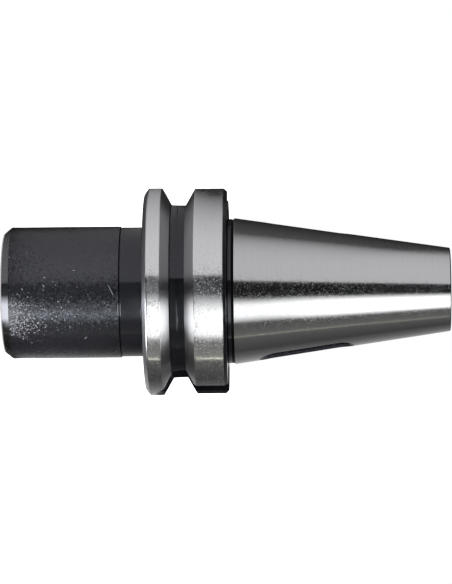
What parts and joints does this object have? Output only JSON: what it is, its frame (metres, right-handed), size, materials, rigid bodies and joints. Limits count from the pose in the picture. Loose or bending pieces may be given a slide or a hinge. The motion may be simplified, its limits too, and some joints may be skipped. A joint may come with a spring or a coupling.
{
  "type": "reducing sleeve",
  "caption": "Tool holder sleeve with a 7:24 steep taper and gripper flange outside, and a Morse taper socket with a drift slot inside.",
  "frame": {"origin": "centre of the nose face, on the sleeve's axis; the sleeve stands on this face", "axes": "+Z along the axis from the nose to the small end of the steep taper; +X through the middle of one drive keyway and along the drift slot"},
  "size_m": [0.063, 0.063, 0.1354],
  "materials": {
    "steel": "case hardened steel, black all over, with the taper, the flange lands and the groove flanks ground bright"
  },
  "bodies": {
    "root": {"sleeve_body": "steel"}
  },
  "joints": []
}
